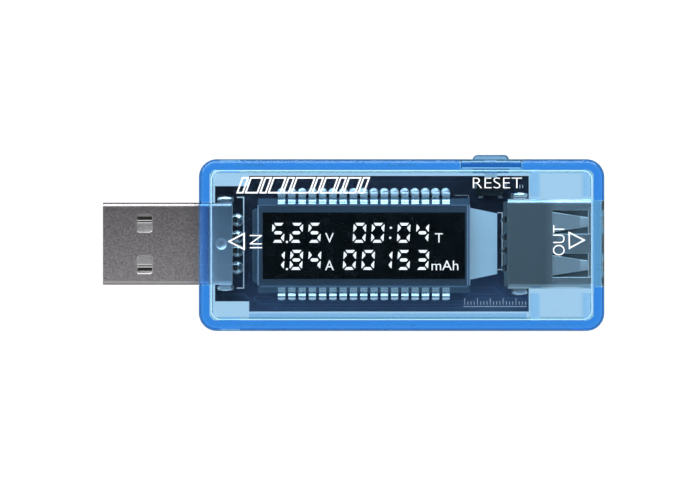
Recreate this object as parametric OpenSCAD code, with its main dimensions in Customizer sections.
// USB power meter: a clear two-part case with a USB-A plug at one end and a USB-A socket
// at the other, a circuit board, a segment display with its backlight, and a side reset button.
//
// Frame: X runs from the plug (-X) to the socket (+X), Y points to the reset button and
// Z is up, out of the display. The origin is the centre of the case's flat underside.

/* [Case] */
// Length of the case, without the plug
case_l = 59; // [58.5:0.25:60]
// Width of the case, without the reset button
case_w = 25; // [25:0.25:26]
// Thickness of the case
case_h = 13; // [13:0.1:13.5]
// Thickness of the case's side walls
wall = 1.5; // [1.4:0.05:1.5]
// Thickness of the case's floor and roof
face_t = 1.9; // [1.7:0.05:1.9]
// Radius of the case's upright corners
corner_r = 2.6; // [2.4:0.1:3]
// Radius of the rounded outer edges
edge_r = 0.8; // [0.5:0.1:1]
// Height at which the two covers meet
split_z = 6.5; // [6.4:0.1:6.6]

/* [Circuit board] */
// Width of the board
board_w = 19.9; // [19.5:0.1:20]
// Thickness of the board
board_t = 1.2; // [1:0.1:1.2]
// Height of the board's underside
board_z = 4.0; // [3.9:0.1:4]
// How far the board sits towards the reset button
board_shift = 0.2; // [0:0.05:0.2]
// Length of the board's narrow end, beside the plug
tab_l = 5; // [4:0.5:5]
// Width of the board's narrow end
tab_w = 16.9; // [16:0.1:17]

/* [USB connectors] */
// How far the plug stands out of the case
plug_out = 14.1; // [13:0.1:15]
// Whole length of the plug's shell
plug_l = 18.9; // [18.9:0.1:19]
// Length of the socket's shell
socket_l = 12.4; // [12.2:0.1:12.6]
// How far the socket's mouth lies behind the case's end
socket_inset = 1.65; // [1.6:0.05:1.8]

/* [Display] */
// Place of the display's centre along the case
lcd_x = -5.5; // [-5.6:0.05:-5.4]
// Length of the display glass
lcd_l = 31; // [30.5:0.1:31]
// Width of the upper glass
lcd_w = 12.1; // [12:0.1:12.2]
// Contacts along each side of the display
lcd_pins = 17; // [13:2:17]
// Spacing of the display's contacts
lcd_pitch = 1.5; // [1.4:0.05:1.5]

/* [Reset button] */
// Place of the button along the case
button_x = 13.1; // [12.8:0.1:13.4]
// Length of the button's cap along the case
button_l = 5.3; // [4.5:0.1:5.5]
// How far the cap stands out of the case
button_out = 0.7; // [0.5:0.1:1]
// Travel of the button and the switch's plunger
button_travel = 0.3; // [0.2:0.05:0.3]

/* [Hidden] */
$fn = 48;
eps = 0.01;          // overlap that lets cuts pass through a face
fit = 0.02;          // clearance of a contact in its moulded channel
slip = 0.1;          // clearance of parts that slide or are put together by hand

case_x = case_l / 2;
case_y = case_w / 2;
in_x = case_x - wall;
in_y = case_y - wall;
roof_z = case_h - face_t;
lip_t = 0.65;        // thickness of the lower cover's lip, inside the upper cover's rebate
lip_h = 1;           // height of the lip
lip_l = 53;          // length of the lip, along each long side
seam = 0.02;         // gap between the two covers where they meet
rib_t = 1.5;         // thickness of the ribs at the board's end
rib_h = 0.8;         // height of those ribs

board_top = board_z + board_t;
board_gap = 0.7;     // gap between the board's narrow end and the case wall
board_x0 = -in_x + board_gap;

// USB type A sizes
usb_t = 0.3;                     // sheet metal of both shells
usb_plug_w = 12;
usb_plug_h = 4.5;
usb_slab_h = 1.95;               // plug's insulator under its contacts, and the gap over them
usb_mouth_w = 12.5;
usb_mouth_h = 5.12;
usb_tongue_w = 11.1;
usb_tongue_h = 1.84;
contact_y = [-3.5, -1, 1, 3.5];
contact_w = 1;
leg_w = 0.7;                     // width of a contact's leg through the board
leg_t = 0.25;
leg_below = 0.9;                 // how far legs reach under the board
leg_hole_r = 0.5;

connector_z = board_top + 0.05;
plug_x0 = -case_x - plug_out;
plug_x1 = plug_x0 + plug_l;
plug_leg_x = plug_x1 + 0.65;
plug_block_x = plug_x0 + 11.5;   // where the plug's insulator fills the whole shell
plug_slab_top = connector_z + usb_t + usb_slab_h;
plug_ear_x = plug_x1 - 1.9;      // start of the ears that hold the shell to the board
ear_l = 1.7;
ear_t = 0.3;

socket_x1 = case_x - socket_inset;
socket_x0 = socket_x1 - socket_l;
socket_w = usb_mouth_w + 2 * usb_t;
socket_h = usb_mouth_h + 2 * usb_t;
socket_mid_z = connector_z + socket_h / 2;
socket_leg_x = socket_x0 - 0.2;
socket_block_x = socket_x0 + 3.05;
socket_ear_x = socket_x0 + 0.95;
socket_ear_l = 1.8;
tongue_x1 = socket_x1 - 0.65;
tongue_top = socket_mid_z + usb_plug_h / 2 - usb_t - (usb_slab_h - usb_tongue_h) / 2;
tongue_z = tongue_top - usb_tongue_h;
board_x1 = socket_x0 + 3.25;

// Display stack, from the board up
lcd_y = -0.1;
guide_z = board_top + 0.15;
guide_h = 2.6;
film_t = 0.15;
glass_t = 1.1;
rear_glass_z = guide_z + guide_h + film_t;
front_glass_z = rear_glass_z + glass_t + 0.02;
ledge = 0.9;                     // rear glass past the front glass, where the contacts grip
rear_glass_w = lcd_w + 2 * ledge;
window_l = 29.5;
window_w = 9.7;
pin_w = 1.05;
pin_t = 0.2;
pin_leg_w = 0.5;
pin_row_y = 7.75;
pin_hole_r = 0.35;
wedge_x0 = lcd_x + lcd_l / 2 - 0.1;
wedge_x1 = 14;
guide_half = 5.27;
wedge_half = 4.42;
led_x = 13;
led_size = [1, 3, 1.2];

// Reset button and its switch
button_z = split_z;
button_h = 3.4;
flange_l = 8.8;
flange_h = 4.4;
flange_t = 0.75;
skin_t = 0.55;                   // case wall left in front of the button's flange
flange_y = case_y - skin_t - 0.05 - flange_t;
stem_l = 5.2;
stem_h = 1.6;
stem_y = board_shift + board_w / 2 + 0.45;
switch_size = [4, 2.7, 2];
switch_y1 = board_shift + board_w / 2 - 0.25;
switch_y0 = switch_y1 - switch_size[1];
plunger_size = [1.8, 1.65, 1];
plunger_z = board_top + 0.5;
plunger_y1 = stem_y - 0.05;
plunger_head = [2.2, 0.4, 1.2];
plunger_head_y = switch_y1 - 1.1;
dome_r = 0.8;

// Parts under the board: [x, y, turn]
resistor_places = [[-12.5, 3.6, 0], [-12.5, 1.8, 0], [-12.5, 0, 0], [0.4, -4.6, 90],
                   [-0.8, 5.6, 0], [8.4, 5.4, 90], [8.4, 1.2, 90], [-16.2, -0.8, 90],
                   [12.4, 0.6, 0], [9.9, 8.4, 0]];
capacitor_places = [[-16.2, 4.6, 90], [-17.8, -6.2, 0], [-9.6, 5.8, 0], [-12.2, -5.9, 0],
                    [6.6, -5.2, 90], [-2.2, -5.9, 0], [12.9, 7.6, 0]];
controller_at = [-5.5, -0.2];
memory_at = [4, 2.4];
amplifier_at = [3.4, -3.4];
regulator_at = [-19.9, 3];
crystal_at = [-14.6, -3.5];
shunt_at = [11, -4.6];
tantalum_at = [11.6, 3.6];
diode_at = [-20.4, -3.6];

// ---------------------------------------------------------------- shared shapes

// Block given by its lowest and highest corners
module block(low, high) {
    translate(low) cube(high - low);
}

// Its children, and their mirror image across the board's centreline
module both_sides() {
    children();
    mirror([0, 1, 0]) children();
}

// Upright section whose upper outer corner is rounded, from x = 0 to x = w
module edge_section(w, h, r) {
    square([w, h - r]);
    square([w - r, h]);
    translate([w - r, h - r]) intersection() {
        circle(r);
        square(r);
    }
}

// Flat-bottomed slab with upright corners of radius c and upper edges of radius r
module rounded_slab(l, w, h, c, r) {
    for (side = [0, 180])
        rotate([0, 0, side])
            rotate([90, 0, 90])
                linear_extrude(l - 2 * c, center = true) edge_section(w / 2, h, r);
    for (end = [0, 180]) rotate([0, 0, end]) {
        translate([l / 2 - c, 0, 0])
            rotate([90, 0, 0])
                linear_extrude(w - 2 * c, center = true) edge_section(c, h, r);
        translate([l / 2 - c, w / 2 - c, 0])
            rotate_extrude(angle = 90) edge_section(c, h, r);
        translate([l / 2 - c, c - w / 2, 0])
            rotate([0, 0, -90]) rotate_extrude(angle = 90) edge_section(c, h, r);
    }
}

// Slab with upright round corners and sharp edges, from z0 to z1
module slab(l, w, c, z0, z1) {
    translate([0, 0, z0]) {
        block([-l / 2, c - w / 2, 0], [l / 2, w / 2 - c, z1 - z0]);
        block([c - l / 2, -w / 2, 0], [l / 2 - c, w / 2, z1 - z0]);
        for (x = [-1, 1], y = [-1, 1])
            translate([x * (l / 2 - c), y * (w / 2 - c), 0]) cylinder(r = c, h = z1 - z0);
    }
}

// Outline of a rectangle with round corners
module round_rect(w, h, r) {
    square([w - 2 * r, h], center = true);
    square([w, h - 2 * r], center = true);
    for (x = [-1, 1], y = [-1, 1]) translate([x * (w / 2 - r), y * (h / 2 - r)]) circle(r);
}

// Sheet-metal tube along X, standing on z = 0
module shell_tube(w, h, r, t, l) {
    translate([0, 0, h / 2]) rotate([90, 0, 90]) difference() {
        linear_extrude(l) round_rect(w, h, r);
        translate([0, 0, -eps])
            linear_extrude(l + 2 * eps) round_rect(w - 2 * t, h - 2 * t, r - t);
    }
}

// Outline in X and Z, given thickness w along Y
module upright(w) {
    rotate([90, 0, 0]) linear_extrude(w, center = true) children();
}

// Places children on the board's centreline
module on_board() {
    translate([0, board_shift, 0]) children();
}

// Places children upside down on the board's underside
module under_board(at, turn = 0) {
    translate([at[0], at[1] + board_shift, board_z])
        mirror([0, 0, 1]) rotate([0, 0, turn]) children();
}

// Places children at each pin of the display, in one row
module at_display_pins() {
    for (i = [0 : lcd_pins - 1])
        translate([lcd_x + (i - (lcd_pins - 1) / 2) * lcd_pitch, lcd_y, 0]) children();
}

// ---------------------------------------------------------------- case

module plug_opening() {
    on_board()
        block([-case_x - 1, -usb_plug_w / 2 - slip, connector_z - slip],
              [-in_x + 1, usb_plug_w / 2 + slip, connector_z + usb_plug_h + slip]);
}

module socket_opening() {
    on_board()
        block([in_x - 1, -usb_mouth_w / 2 - slip, socket_mid_z - usb_mouth_h / 2 - slip],
              [case_x + 1, usb_mouth_w / 2 + slip, socket_mid_z + usb_mouth_h / 2 + slip]);
}

// Hole for the button's cap, and the pocket that its flange slides in
module button_opening() {
    translate([button_x, 0, button_z]) {
        block([-button_l / 2 - slip, in_y - 1, -button_h / 2 - slip],
              [button_l / 2 + slip, case_y + 1, button_h / 2 + slip]);
        block([-flange_l / 2 - 2 * slip, in_y - 1, -flange_h / 2 - 2 * slip],
              [flange_l / 2 + 2 * slip, case_y - skin_t, flange_h / 2 + 2 * slip]);
    }
}

// Snap ridges on the lip; grow widens them into the grooves that hold them
module snaps(grow = 0) {
    for (x = [-22, 0, 22], side = [-1, 1])
        translate([x, side * (in_y + lip_t), split_z + lip_h / 2])
            rotate([0, 90, 0]) cylinder(r = 0.15 + grow, h = 4 + 2 * grow, center = true);
}

// Lips along the long sides; grow leaves room round them
module lip(grow = 0) {
    lip_y = in_y + lip_t + grow;
    difference() {
        block([-lip_l / 2 - grow, -lip_y, split_z - 0.2],
              [lip_l / 2 + grow, lip_y, split_z + lip_h + grow]);
        block([-in_x, -in_y, split_z - 1], [in_x, in_y, split_z + 3]);
    }
}

// Round fillets where the walls meet a plate that lies at z = 0, standing up from it
module coves(r = 0.55) {
    both_sides() {
        difference() {
            block([-in_x, in_y - r, -eps], [in_x, in_y + eps, r]);
            translate([0, in_y - r, r]) rotate([0, 90, 0]) cylinder(r = r, h = case_l, center = true);
        }
        difference() {
            union() {
                block([-in_x - eps, -eps, -eps], [r - in_x, in_y, r]);
                block([in_x - r, 7.05, -eps], [in_x + eps, in_y, r]);
            }
            for (x = [r - in_x, in_x - r])
                translate([x, 0, r]) rotate([90, 0, 0]) cylinder(r = r, h = case_w, center = true);
        }
    }
}

// Low ribs across the case beside the socket's mouth, from z0 to z1
module mouth_ribs(z0, z1) {
    both_sides() block([in_x - 1.5, 7.05, z0], [in_x - 0.5, in_y + eps, z1]);
}

module top_cover() {
    color("deepskyblue", 0.4) difference() {
        union() {
            difference() {
                translate([0, 0, split_z + seam])
                    rounded_slab(case_l, case_w, case_h - split_z - seam, corner_r, edge_r);
                slab(2 * in_x, 2 * in_y, corner_r - wall, split_z - 1, roof_z);
                lip(0.05);
                snaps(0.05);
            }
            // low ribs past the board's end and beside the socket's mouth
            both_sides() block([board_x1 + 0.15, 7.05, roof_z - rib_h],
                               [board_x1 + rib_t, in_y + eps, roof_z + eps]);
            mouth_ribs(roof_z - rib_h, roof_z + eps);
            translate([0, 0, roof_z]) mirror([0, 0, 1]) coves();
            // pads that thicken the long walls by the plug
            both_sides() block([-26.4, in_y - 0.45, split_z + lip_h + slip],
                               [-23.6, in_y + eps, roof_z + eps]);
        }
        plug_opening();
        socket_opening();
        button_opening();
    }
}

module bottom_cover() {
    post_x = [-17.5, -5.5, 5.5, 16.5];   // posts that carry the board
    post_y = 8.9;
    color("deepskyblue", 0.4) difference() {
        union() {
            difference() {
                translate([0, 0, split_z]) mirror([0, 0, 1])
                    rounded_slab(case_l, case_w, split_z, corner_r, edge_r);
                slab(2 * in_x, 2 * in_y, corner_r - wall, face_t, split_z + 1);
            }
            lip();
            snaps();
            both_sides() {
                for (x = post_x)
                    block([x - 0.75, post_y - 0.5, face_t - eps], [x + 0.75, post_y + 0.5, board_z]);
                // low ribs past the board's end
                block([board_x1 + 0.15, 7.05, face_t - eps],
                      [board_x1 + rib_t, in_y + eps, face_t + rib_h]);
            }
            // floor ribs under the narrow end and under the socket's mouth
            block([board_x0 + 0.8, -5, face_t - eps], [board_x0 + 1.8, 5, board_z]);
            block([in_x - 2.5, -5, face_t - eps], [in_x - 1.5, 5, connector_z - 0.05]);
            mouth_ribs(face_t - eps, face_t + rib_h);
            translate([0, 0, face_t]) coves();
        }
        plug_opening();
        socket_opening();
        button_opening();
    }
}

module reset_button() {
    color("dodgerblue", 0.5) translate([button_x, 0, button_z]) {
        // cap that narrows towards its pressed face
        rotate([-90, 0, 0]) translate([0, 0, flange_y + flange_t - eps])
            linear_extrude(case_y - flange_y - flange_t) square([button_l, button_h], center = true);
        translate([0, case_y, 0]) linear_extrude(button_h, center = true)
            polygon([[-button_l / 2, -2 * eps], [button_l / 2, -2 * eps],
                     [button_l / 2 - 0.1, button_out * 0.5], [button_l / 2 - 0.45, button_out],
                     [0.45 - button_l / 2, button_out], [0.1 - button_l / 2, button_out * 0.5]]);
        block([-flange_l / 2, flange_y, -flange_h / 2],
              [flange_l / 2, flange_y + flange_t, flange_h / 2]);
        block([-stem_l / 2, stem_y, -stem_h / 2], [stem_l / 2, flange_y + eps, stem_h / 2]);
    }
}

// ---------------------------------------------------------------- circuit board

module ear_slots(x, l, y) {
    on_board() both_sides()
        block([x - 0.15, y, board_z - 1], [x + l + 0.15, y + ear_t + 0.3, board_top + 1]);
}

module circuit_board() {
    color("midnightblue") difference() {
        on_board() {
            block([board_x0 + tab_l, -board_w / 2, board_z], [board_x1, board_w / 2, board_top]);
            block([board_x0, -tab_w / 2, board_z], [board_x0 + tab_l + 1, tab_w / 2, board_top]);
        }
        for (x = [plug_leg_x, socket_leg_x], y = contact_y)
            translate([x, y + board_shift, board_z - 1]) cylinder(r = leg_hole_r, h = board_t + 2);
        ear_slots(plug_ear_x, ear_l, usb_plug_w / 2);
        ear_slots(socket_ear_x, socket_ear_l, socket_w / 2);
        at_display_pins() for (side = [-1, 1])
            translate([0, side * pin_row_y, board_z - 1]) cylinder(r = pin_hole_r, h = board_t + 2);
    }
}

// Solder fillet on both faces of the board round a hole, cut for a leg of size [l, w]
module solder_fillet(r, leg, up, down) {
    difference() {
        union() {
            translate([0, 0, board_top]) cylinder(r1 = r, r2 = r * 0.45, h = up);
            translate([0, 0, board_z - down]) cylinder(r1 = r * 0.45, r2 = r, h = down);
        }
        cube([leg[0] + fit, leg[1] + fit, 20], center = true);
    }
}

// Solder round a connector's ear, on both faces of the board
module ear_solder(x, l, y) {
    on_board() both_sides() difference() {
        union() {
            block([x - 0.4, y + 0.05, board_top], [x + l + 0.4, y + ear_t + 0.6, board_top + 0.35]);
            block([x - 0.4, y - 0.3, board_z - 0.5], [x + l + 0.4, y + ear_t + 0.6, board_z]);
        }
        block([x - fit, y + 0.15 - fit, board_z - 2],
              [x + l + fit, y + 0.15 + ear_t + fit, board_top + 2]);
    }
}

// ---------------------------------------------------------------- plug

// Ear that leaves a shell's side and passes down through the board
module ear(x, l, y) {
    both_sides() {
        block([x, y - eps, connector_z + 0.9], [x + l, y + 0.15 + ear_t, connector_z + 0.9 + ear_t]);
        block([x, y + 0.15, board_z - 0.8], [x + l, y + 0.15 + ear_t, connector_z + 0.9 + ear_t]);
    }
}

module plug_shell() {
    window = [2.2, 2.6];
    window_x = plug_x0 + 5;
    window_y = 3.03;
    dent_r = 0.85;
    dent_depth = 0.2;
    dent_ball = (dent_r * dent_r + dent_depth * dent_depth) / (2 * dent_depth);
    seam = 0.06;
    color("silver") on_board() {
        translate([plug_x0, 0, connector_z]) difference() {
            shell_tube(usb_plug_w, usb_plug_h, 0.65, usb_t, plug_l);
            for (y = [-window_y, window_y])
                translate([window_x - plug_x0 + window[0] / 2, y, -1])
                    linear_extrude(usb_plug_h + 2) round_rect(window[0], window[1], 0.35);
            translate([plug_l - 1.6, 0, usb_plug_h + dent_ball - dent_depth]) sphere(dent_ball);
            block([-1, -seam, -1], [plug_l + 1, seam, 1]);
        }
        ear(plug_ear_x, ear_l, usb_plug_w / 2);
    }
}

module plug_insulator() {
    inner = usb_plug_w / 2 - usb_t;
    floor_z = connector_z + usb_t + 0.05;
    color("whitesmoke") on_board() difference() {
        union() {
            block([plug_x0 + 0.3, -inner + 0.15, floor_z],
                  [plug_block_x + eps, inner - 0.15, plug_slab_top]);
            block([plug_block_x, -inner + 0.12, floor_z],
                  [plug_x1, inner - 0.12, connector_z + usb_plug_h - usb_t - 0.05]);
        }
        for (y = contact_y)
            translate([0, y, 0])
                block([plug_x0 + 1, -contact_w / 2 - fit, plug_slab_top - 0.2 - fit],
                      [plug_x1 + 1, contact_w / 2 + fit, plug_slab_top + 0.05 + fit]);
    }
}

module plug_contacts() {
    outer_start = 1.3;   // power contacts meet first
    inner_start = 2.3;
    z1 = plug_slab_top + 0.05;
    color("gold") on_board() for (y = contact_y) translate([0, y, 0]) {
        start = plug_x0 + (abs(y) > 2 ? outer_start : inner_start);
        upright(contact_w)
            polygon([[start, z1 - leg_t], [start + 0.25, z1], [plug_leg_x + leg_t / 2, z1],
                     [plug_leg_x + leg_t / 2, z1 - leg_t]]);
        block([plug_leg_x - leg_t / 2, -leg_w / 2, board_z - leg_below],
              [plug_leg_x + leg_t / 2, leg_w / 2, z1]);
    }
}

module plug_solder() {
    color("lightgray") {
        for (y = contact_y)
            translate([plug_leg_x, y + board_shift, 0])
                solder_fillet(0.78, [leg_t, leg_w], 0.25, 0.6);
        ear_solder(plug_ear_x, ear_l, usb_plug_w / 2);
    }
}

// ---------------------------------------------------------------- socket

finger_x0 = socket_x1 - 5.9;
finger_l = 5.2;
finger_y = 3.15;

// Opening in the shell round a spring finger, seen from above
module finger_window() {
    translate([finger_x0, -1.7, -1]) cube([finger_l + 0.3, 3.4, 2]);
}

// Spring finger that dips into the mouth; its sheet's top lies at z = 0
module spring_finger() {
    intersection() {
        upright(4)
            polygon([[finger_x0 - 0.2, 0], [finger_x0, 0], [finger_x0 + 4.1, -0.65],
                     [finger_x0 + finger_l, -0.2], [finger_x0 + finger_l, -0.2 - usb_t],
                     [finger_x0 + 4.1, -0.65 - usb_t], [finger_x0, -usb_t],
                     [finger_x0 - 0.2, -usb_t]]);
        translate([0, 0, -2]) linear_extrude(3)
            polygon([[finger_x0 - 0.3, -1.5], [finger_x0, -1.5],
                     [finger_x0 + finger_l + 0.1, -0.7], [finger_x0 + finger_l + 0.1, 0.7],
                     [finger_x0, 1.5], [finger_x0 - 0.3, 1.5]]);
    }
}

module socket_shell() {
    color("silver") on_board() {
        difference() {
            translate([socket_x0, 0, connector_z])
                shell_tube(socket_w, socket_h, 0.75, usb_t, socket_l);
            for (y = [-finger_y, finger_y], z = [connector_z, connector_z + socket_h])
                translate([0, y, z]) finger_window();
        }
        for (y = [-finger_y, finger_y]) translate([0, y, socket_mid_z]) {
            translate([0, 0, socket_h / 2]) spring_finger();
            mirror([0, 0, 1]) translate([0, 0, socket_h / 2]) spring_finger();
        }
        ear(socket_ear_x, socket_ear_l, socket_w / 2);
    }
}

groove_z = tongue_z + 0.5;   // roof of the grooves that hold the contact springs

module socket_insulator() {
    inner = usb_mouth_w / 2;
    color("whitesmoke") on_board() difference() {
        union() {
            block([socket_x0 - 0.5, -inner + 0.1, connector_z + usb_t + 0.05],
                  [socket_block_x, inner - 0.1, connector_z + socket_h - usb_t - 0.05]);
            block([socket_block_x - eps, -usb_tongue_w / 2, tongue_z],
                  [tongue_x1, usb_tongue_w / 2, tongue_top]);
        }
        for (y = contact_y) translate([0, y, 0]) {
            block([socket_block_x, -contact_w / 2 - 0.05, tongue_z - 1],
                  [tongue_x1 - 0.4, contact_w / 2 + 0.05, groove_z]);
            block([socket_x0 - 1, -contact_w / 2 - fit, groove_z - 0.05 - leg_t - fit],
                  [socket_block_x + eps, contact_w / 2 + fit, groove_z - 0.05 + fit]);
            block([socket_x0 - 1, -leg_w / 2 - 0.1, connector_z - 1],
                  [socket_leg_x + leg_t / 2 + fit, leg_w / 2 + 0.1, groove_z]);
            // notch over the leg's bend
            block([socket_x0 - 1, -0.5, groove_z - eps],
                  [socket_x0 - 0.05, 0.5, connector_z + socket_h]);
        }
    }
}

module socket_contacts() {
    top = groove_z - 0.05;
    bump_x = tongue_x1 - 2.6;
    color("gold") on_board() for (y = contact_y) translate([0, y, 0]) {
        upright(contact_w)
            polygon([[socket_leg_x - leg_t / 2, top], [bump_x - 1.6, top], [bump_x, top - 0.55],
                     [bump_x + 0.6, top - 0.55], [bump_x + 1.8, top - 0.05],
                     [bump_x + 1.8, top - 0.05 - leg_t], [bump_x + 0.6, top - 0.55 - leg_t],
                     [bump_x, top - 0.55 - leg_t], [bump_x - 1.6, top - leg_t],
                     [socket_leg_x - leg_t / 2, top - leg_t]]);
        block([socket_leg_x - leg_t / 2, -leg_w / 2, board_z - leg_below],
              [socket_leg_x + leg_t / 2, leg_w / 2, top]);
    }
}

module socket_solder() {
    color("lightgray") {
        for (y = contact_y)
            translate([socket_leg_x, y + board_shift, 0])
                solder_fillet(0.72, [leg_t, leg_w], 0.04, 0.6);
        ear_solder(socket_ear_x, socket_ear_l, socket_w / 2);
    }
}

// ---------------------------------------------------------------- display

// Sheet centred on the display, from z up to z + t
module display_sheet(l, w, z, t) {
    translate([lcd_x - l / 2, lcd_y - w / 2, z]) cube([l, w, t]);
}

module display_front_glass() {
    color("lightsteelblue", 0.5) display_sheet(lcd_l, lcd_w, front_glass_z, glass_t);
}

module display_rear_glass() {
    color("lightsteelblue", 0.5) display_sheet(lcd_l, rear_glass_w, rear_glass_z, glass_t);
}

module display_front_polarizer() {
    color("black") display_sheet(window_l, window_w, front_glass_z + glass_t, film_t);
}

module display_rear_polarizer() {
    color("dimgray") display_sheet(window_l + 0.2, window_w + 0.2, rear_glass_z - film_t, film_t);
}

// Contact that grips the rear glass's ledge and runs down through the board, on the +Y side
module display_pin() {
    edge = rear_glass_w / 2 + fit;
    top = rear_glass_z + glass_t;
    under = rear_glass_z - fit;
    strap_y = pin_row_y + pin_t / 2;
    rotate([90, 0, 90]) {
        linear_extrude(pin_w, center = true) {
            // jaw over the glass: a curled tip, a dimple and a crest before the strap
            polygon([[lcd_w / 2 + 0.05, top + fit], [edge + 0.08, top + fit],
                     [edge + 0.38, top + 0.14], [strap_y - pin_t, top - 0.1],
                     [strap_y - pin_t, under], [edge - 0.57, under],
                     [edge - 0.57, under - pin_t], [strap_y - pin_t, under - pin_t],
                     [strap_y - pin_t, guide_z + 1.4], [strap_y, guide_z + 1.4],
                     [strap_y, top - 0.05], [strap_y - 0.25, top + 0.3],
                     [strap_y - 0.55, top + 0.36], [strap_y - 1, top + 0.15],
                     [strap_y - 1.15, top + 0.15], [strap_y - 1.4, top + 0.28],
                     [strap_y - 1.55, top + 0.3], [lcd_w / 2 + 0.05, top + 0.4]]);
        }
        linear_extrude(pin_leg_w, center = true)
            translate([strap_y - pin_t, board_z - 0.7])
                square([pin_t, guide_z + 1.5 - board_z + 0.7]);
    }
}

module display_pins_reset_side() {
    color("lightgray") at_display_pins() display_pin();
}

module display_pins_far_side() {
    color("lightgray") at_display_pins() mirror([0, 1, 0]) display_pin();
}

module display_solder() {
    color("lightgray") at_display_pins() {
        translate([0, pin_row_y, 0]) solder_fillet(0.7, [pin_leg_w, pin_t], 0.22, 0.5);
        translate([0, -pin_row_y, 0]) solder_fillet(0.4, [pin_leg_w, pin_t], 0.03, 0.5);
    }
}

// Plan of the light guide past the glass, tapering towards its lamp
module wedge_plan(x) {
    polygon([[x, -guide_half], [wedge_x0, -guide_half], [wedge_x1, -wedge_half],
             [wedge_x1, wedge_half], [wedge_x0, guide_half], [x, guide_half]]);
}

// The part of that plan which the glass leaves open
module open_wedge_plan() {
    intersection() {
        wedge_plan(wedge_x0 - 1);
        translate([wedge_x0 + 0.15, -20]) square([20, 40]);
    }
}

// Plan of the light guide's bar under the glass, with two round corners at its far end
module bar_plan(x, half, r) {
    translate([0, lcd_y - board_shift]) {
        translate([x + r, -half]) square([wedge_x0 - x - r, 2 * half]);
        translate([x, r - half]) square([r + 1, 2 * (half - r)]);
        for (y = [r - half, half - r]) translate([x + r, y]) circle(r);
    }
}

// Place of the lamp, with room round it
module lamp_pocket() {
    translate([led_x - led_size[0] / 2 - 0.1, -led_size[1] / 2 - 0.1, board_top - 1])
        cube([led_size[0] + 0.2, led_size[1] + 0.2, led_size[2] + 1.1]);
}

module backlight_guide() {
    color("azure") on_board() difference() {
        translate([0, 0, guide_z]) linear_extrude(guide_h) {
            bar_plan(lcd_x - lcd_l / 2 - 0.8, 5.5, 0.6);
            wedge_plan(wedge_x0 - 1);
        }
        lamp_pocket();
    }
}

module backlight_film() {
    color("white") on_board()
        translate([0, 0, guide_z + guide_h]) linear_extrude(0.1) open_wedge_plan();
}

module backlight_reflector() {
    color("white") on_board() difference() {
        translate([0, 0, board_top + 0.02]) linear_extrude(0.1) {
            translate([lcd_x - window_l / 2, -window_w / 2]) square([window_l - 0.2, window_w]);
            open_wedge_plan();
        }
        lamp_pocket();
    }
}

module backlight_led() {
    color("ivory") on_board() {
        translate([led_x - led_size[0] / 2, -led_size[1] / 2, board_top]) cube(led_size);
    }
}

// ---------------------------------------------------------------- reset switch

module switch_body() {
    pocket_y = switch_y1 - 1.65;
    color("darkslategray") translate([button_x, 0, board_top]) difference() {
        block([-switch_size[0] / 2, switch_y0, 0],
              [switch_size[0] / 2, switch_y1, switch_size[2]]);
        block([-plunger_head[0] / 2 - 0.1, pocket_y, 0.3],
              [plunger_head[0] / 2 + 0.1, switch_y1 - 0.65, 1.7]);
        block([-plunger_size[0] / 2 - 0.05, pocket_y, 0.45],
              [plunger_size[0] / 2 + 0.05, switch_y1 + 1, 1.55]);
    }
}

module switch_plunger() {
    color("black") translate([button_x, 0, plunger_z + plunger_size[2] / 2]) {
        block([-plunger_size[0] / 2, plunger_head_y + eps, -plunger_size[2] / 2],
              [plunger_size[0] / 2, plunger_y1, plunger_size[2] / 2]);
        block([-plunger_head[0] / 2, plunger_head_y, -plunger_head[2] / 2],
              [plunger_head[0] / 2, plunger_head_y + plunger_head[1], plunger_head[2] / 2]);
    }
}

// Snap dome behind the plunger, seen as a shallow dish on its rim
module switch_dome() {
    dome_h = 0.5;
    rim_y = switch_y1 - 1.63;
    color("silver") translate([button_x, rim_y, plunger_z + plunger_size[2] / 2])
        rotate([-90, 0, 0]) rotate_extrude()
            polygon([[0, dome_h - 0.08], [dome_r * 0.5, dome_h * 0.72], [dome_r * 0.7, 0],
                     [dome_r * 0.78, 0], [dome_r * 0.6, dome_h * 0.85], [0, dome_h]]);
}

module switch_terminals() {
    leg = [0.7, 0.35, 0.15];
    color("lightgray") translate([button_x, 0, board_top]) for (side = [-1, 1]) {
        // rear terminals, bent down behind the body
        translate([side * 1.45 - leg[0] / 2, switch_y0 - leg[1], 0]) {
            cube(leg);
            translate([0, leg[1] - leg[2], 0]) cube([leg[0], leg[2], 1.4]);
        }
        // side tabs that anchor the body
        translate([side * (switch_size[0] / 2 + 0.2) - 0.2, switch_y0 + 1, 0]) cube([0.4, 0.9, 0.15]);
    }
}

// ---------------------------------------------------------------- parts under the board

// Gull-wing lead: starts at x = 0 on the body's side and ends on the board
module gull_lead(reach, rise, w, t) {
    upright(w)
        polygon([[0, rise], [reach * 0.35, rise], [reach * 0.6, t], [reach, t], [reach, 0],
                 [reach * 0.5, 0], [reach * 0.25, rise - t], [0, rise - t]]);
}

// Row of n leads along the side of a body of half width x
module lead_row(n, pitch, x, reach, rise, w, t) {
    for (i = [0 : n - 1])
        translate([x, (i - (n - 1) / 2) * pitch, 0]) gull_lead(reach, rise, w, t);
}

// Moulded chip body that stands a little off the board, with a dimple by its first lead
module chip_body(l, w, h) {
    difference() {
        translate([-l / 2, -w / 2, 0.1]) cube([l, w, h - 0.1]);
        translate([0.9 - l / 2, 0.9 - w / 2, h - 0.08]) cylinder(r = 0.35, h = 1);
    }
}

module controller_chip() {
    color([0.12, 0.12, 0.13]) under_board(controller_at) chip_body(7, 7, 1.5);
}

module controller_leads() {
    color("silver") under_board(controller_at)
        for (turn = [0 : 90 : 270]) rotate([0, 0, turn]) lead_row(12, 0.5, 3.5, 1, 0.85, 0.22, 0.13);
}

module memory_chip() {
    color([0.12, 0.12, 0.13]) under_board(memory_at) chip_body(4.9, 3.9, 1.5);
}

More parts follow.
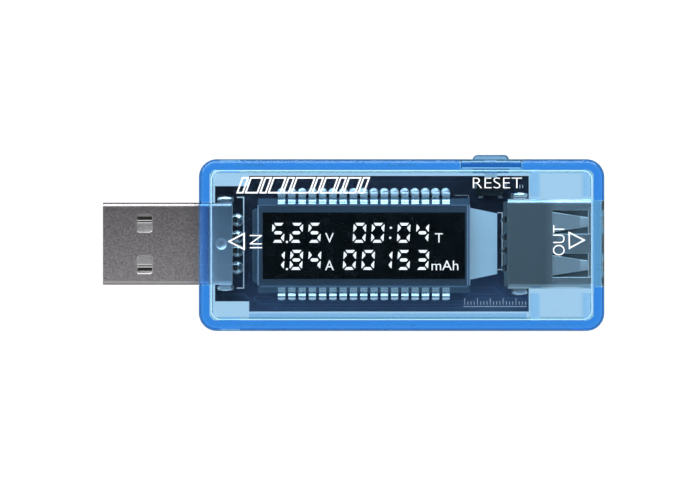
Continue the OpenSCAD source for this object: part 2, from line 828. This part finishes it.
module memory_leads() {
    color("silver") under_board(memory_at)
        for (turn = [90, 270]) rotate([0, 0, turn]) lead_row(4, 1.27, 1.95, 1.05, 0.9, 0.42, 0.2);
}

module amplifier_chip() {
    color([0.12, 0.12, 0.13]) under_board(amplifier_at) translate([-1.45, -0.8, 0.1]) cube([2.9, 1.6, 1]);
}

module amplifier_leads() {
    color("silver") under_board(amplifier_at) {
        rotate([0, 0, 90]) lead_row(2, 1.9, 0.8, 0.6, 0.6, 0.4, 0.13);
        rotate([0, 0, 270]) lead_row(3, 0.95, 0.8, 0.6, 0.6, 0.4, 0.13);
    }
}

module regulator_body() {
    color([0.12, 0.12, 0.13]) under_board(regulator_at, 90) translate([-2.25, -1.25, 0.1]) cube([4.5, 2.5, 1.4]);
}

module regulator_leads() {
    color("silver") under_board(regulator_at, 90) {
        for (x = [-1.5, 0, 1.5]) translate([x - 0.22, -2.1, 0]) cube([0.44, 0.85, 0.38]);
        translate([-0.85, 1.25, 0]) cube([1.7, 0.6, 0.38]);
    }
}

crystal_l = 6;
crystal_r = 0.95;

module crystal_can() {
    color("silver") under_board(crystal_at) translate([-crystal_l / 2, 0, crystal_r])
        rotate([0, 90, 0]) cylinder(r = crystal_r, h = crystal_l);
}

module crystal_wires() {
    wire_r = 0.15;
    color("lightgray") under_board(crystal_at) for (y = [-0.4, 0.4])
        translate([crystal_l / 2, y, crystal_r]) {
            rotate([0, 90, 0]) cylinder(r = wire_r, h = 1.2);
            translate([1.2, 0, 0]) sphere(wire_r);
            translate([1.2, 0, -crystal_r]) cylinder(r = wire_r, h = crystal_r);
        }
}

// Body of a two-ended part, without its metal ends
module two_end_body(l, w, h, end) {
    translate([end - l / 2, -w / 2, 0]) cube([l - 2 * end, w, h]);
}

// Metal ends of a two-ended part
module two_ends(l, w, h, end) {
    for (side = [0, 180]) rotate([0, 0, side]) translate([l / 2 - end, -w / 2, 0]) cube([end, w, h]);
}

module shunt_resistor() {
    color([0.13, 0.13, 0.14]) under_board(shunt_at) two_end_body(6.4, 3.2, 0.65, 0.8);
}

module shunt_terminals() {
    color("lightgray") under_board(shunt_at) two_ends(6.4, 3.2, 0.6, 0.8);
}

module tantalum_capacitor() {
    color("goldenrod") under_board(tantalum_at) two_end_body(3.5, 2.8, 1.9, 0.12);
}

module tantalum_terminals() {
    color("lightgray") under_board(tantalum_at) for (side = [0, 180])
        rotate([0, 0, side]) translate([1.75 - 0.12, -1.1, 0]) cube([0.12, 2.2, 1]);
}

module input_diode() {
    color([0.13, 0.13, 0.14]) under_board(diode_at) translate([-1.35, -0.8, 0.05]) cube([2.7, 1.6, 1.1]);
}

module diode_terminals() {
    color("lightgray") under_board(diode_at) for (side = [0, 180])
        rotate([0, 0, side]) translate([1.35, -0.45, 0]) cube([0.5, 0.9, 0.35]);
}

chip_size = [1.6, 0.8];   // length and width of the small resistors and capacitors
chip_end = 0.3;

module chip_resistors() {
    color([0.13, 0.13, 0.14]) for (p = resistor_places)
        under_board(p, p[2]) two_end_body(chip_size[0], chip_size[1], 0.47, chip_end);
}

module chip_resistor_ends() {
    color("lightgray") for (p = resistor_places)
        under_board(p, p[2]) two_ends(chip_size[0], chip_size[1], 0.45, chip_end);
}

module chip_capacitors() {
    color("tan") for (p = capacitor_places)
        under_board(p, p[2]) two_end_body(chip_size[0], chip_size[1], 0.8, chip_end);
}

module chip_capacitor_ends() {
    color("lightgray") for (p = capacitor_places)
        under_board(p, p[2]) two_ends(chip_size[0], chip_size[1], 0.82, chip_end);
}

// ---------------------------------------------------------------- nodes

top_cover();
bottom_cover();
reset_button();
circuit_board();
plug_shell();
plug_insulator();
plug_contacts();
plug_solder();
socket_shell();
socket_insulator();
socket_contacts();
socket_solder();
display_front_glass();
display_rear_glass();
display_front_polarizer();
display_rear_polarizer();
display_pins_reset_side();
display_pins_far_side();
display_solder();
backlight_guide();
backlight_film();
backlight_reflector();
backlight_led();
switch_body();
switch_plunger();
switch_dome();
switch_terminals();
controller_chip();
controller_leads();
memory_chip();
memory_leads();
amplifier_chip();
amplifier_leads();
regulator_body();
regulator_leads();
crystal_can();
crystal_wires();
shunt_resistor();
shunt_terminals();
tantalum_capacitor();
tantalum_terminals();
input_diode();
diode_terminals();
chip_resistors();
chip_resistor_ends();
chip_capacitors();
chip_capacitor_ends();
